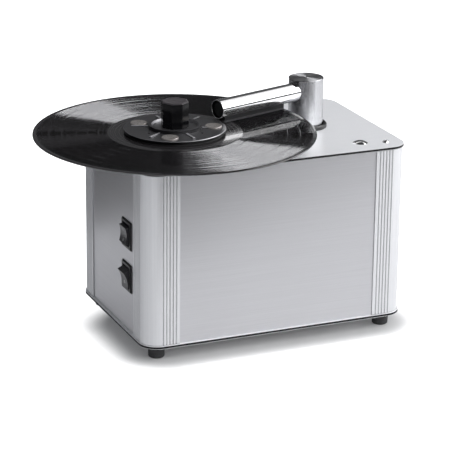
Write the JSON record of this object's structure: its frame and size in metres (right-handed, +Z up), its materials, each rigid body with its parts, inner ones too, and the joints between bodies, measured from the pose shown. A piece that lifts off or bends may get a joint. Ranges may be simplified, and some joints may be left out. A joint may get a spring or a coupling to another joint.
{
  "type": "record cleaning machine",
  "caption": "Box-shaped record cleaning machine: a motor platter with a clamped record, and a tube suction arm that swings over it and feeds a waste tank inside.",
  "frame": {"origin": "centre of the casing's footprint, on the plane of the feet's undersides", "axes": "+X along the long front face away from the switches, +Y from the front face to the back, +Z up"},
  "size_m": [0.4049, 0.329, 0.2721],
  "materials": {
    "anodised_aluminium": "satin anodised extrusion",
    "brushed_panel": "fine horizontal brushing",
    "composite_plate": "satin skins on a black core",
    "chrome": "polished",
    "turned_aluminium": "fine turned",
    "steel": "plain",
    "vinyl": "grooved, glossy",
    "anthracite": "dark anodised, satin",
    "nickel": "warm, brushed",
    "knob_black": "glossy sides",
    "rubber_black": "matt",
    "velvet": "short pile",
    "black_plastic": "fine grain",
    "rocker_plastic": "satin",
    "tank_plastic": "milky, moulded",
    "hose_rubber": "satin",
    "brass": "turned",
    "motor_paint": "satin",
    "platter_black": "satin",
    "fan_plastic": "moulded",
    "board_green": "solder mask"
  },
  "bodies": {
    "casing": {"bottom_plate": "composite_plate", "top_plate": "composite_plate", "profile_front_left": "anodised_aluminium", "profile_front_right": "anodised_aluminium", "profile_back_left": "anodised_aluminium", "profile_back_right": "anodised_aluminium", "front_panel": "brushed_panel", "back_panel": "brushed_panel", "left_panel": "brushed_panel", "right_panel": "brushed_panel", "feet": "rubber_black", "corner_screws": "chrome", "blanking_cap": "chrome", "spindle_bush": "brass", "motor_bracket": "steel", "bracket_pillars": "steel", "pillar_screws": "steel", "gear_motor": "motor_paint", "riser_bush": "black_plastic", "bush_nut": "black_plastic", "post_collar": "black_plastic", "waste_tank": "tank_plastic", "lid_gasket": "rubber_black", "tank_lid": "tank_plastic", "lid_screws": "steel", "inlet_seal": "rubber_black", "drain_spigot": "black_plastic", "suction_hose": "hose_rubber", "blower_mounts": "rubber_black", "blower_motor": "motor_paint", "blower_housing": "black_plastic", "blower_cover": "black_plastic", "motor_switch": "black_plastic", "vacuum_switch": "black_plastic", "mains_inlet": "black_plastic", "inlet_pins": "brass", "control_board": "board_green"},
    "platter": {"platter": "platter_black", "platter_mat": "rubber_black", "record": "vinyl", "spindle": "steel", "coupling": "steel", "output_shaft": "steel"},
    "clamp": {"clamp_disc": "anthracite", "clamp_seal": "rubber_black", "clamp_pads": "nickel", "clamp_collet": "brass"},
    "clamp_knob": {"clamp_knob": "knob_black"},
    "riser": {"riser_pipe": "turned_aluminium"},
    "arm": {"arm_post": "turned_aluminium", "post_grub_screw": "steel", "arm_tube": "chrome", "tube_end_plug": "rubber_black", "strip_holder": "black_plastic", "velvet_strips": "velvet"},
    "motor_rocker": {"motor_rocker": "rocker_plastic"},
    "vacuum_rocker": {"vacuum_rocker": "rocker_plastic"},
    "blower_fan": {"blower_fan": "fan_plastic"},
    "fuse_drawer": {"fuse_drawer": "black_plastic"},
    "drain_plug": {"drain_plug": "rubber_black"}
  },
  "joints": [
    {"name": "platter_spin", "type": "hinge", "parent": "casing", "child": "platter", "pos_m": [-0.0996, -0.0492, 0.2352], "axis": [0, 0, 1], "continuous": true},
    {"name": "clamp_lift", "type": "slide", "parent": "platter", "child": "clamp", "axis": [0, 0, 1], "range_m": [0, 0.045]},
    {"name": "knob_turn", "type": "hinge", "parent": "clamp", "child": "clamp_knob", "pos_m": [-0.0996, -0.0492, 0.2443], "axis": [0, 0, 1], "range_deg": [0, 180]},
    {"name": "arm_lift", "type": "slide", "parent": "casing", "child": "riser", "axis": [0, 0, 1], "range_m": [0, 0.015]},
    {"name": "arm_swivel", "type": "hinge", "parent": "riser", "child": "arm", "pos_m": [0.07842, 0.00506, 0.2128], "axis": [0, 0, 1], "range_deg": [-108, 0]},
    {"name": "motor_rocker_tilt", "type": "hinge", "parent": "casing", "child": "motor_rocker", "pos_m": [-0.1488, -0.0435, 0.128], "axis": [0, 1, 0], "range_deg": [-14, 14]},
    {"name": "vacuum_rocker_tilt", "type": "hinge", "parent": "casing", "child": "vacuum_rocker", "pos_m": [-0.1488, -0.0435, 0.0797], "axis": [0, 1, 0], "range_deg": [0, 28]},
    {"name": "fan_spin", "type": "hinge", "parent": "casing", "child": "blower_fan", "pos_m": [-0.042, 0.038, 0.083], "axis": [0, 0, 1], "continuous": true},
    {"name": "fuse_drawer_slide", "type": "slide", "parent": "casing", "child": "fuse_drawer", "axis": [0, 1, 0], "range_m": [0, 0.016]},
    {"name": "drain_plug_pull", "type": "slide", "parent": "casing", "child": "drain_plug", "axis": [0, 1, 0], "range_m": [0, 0.015]}
  ]
}
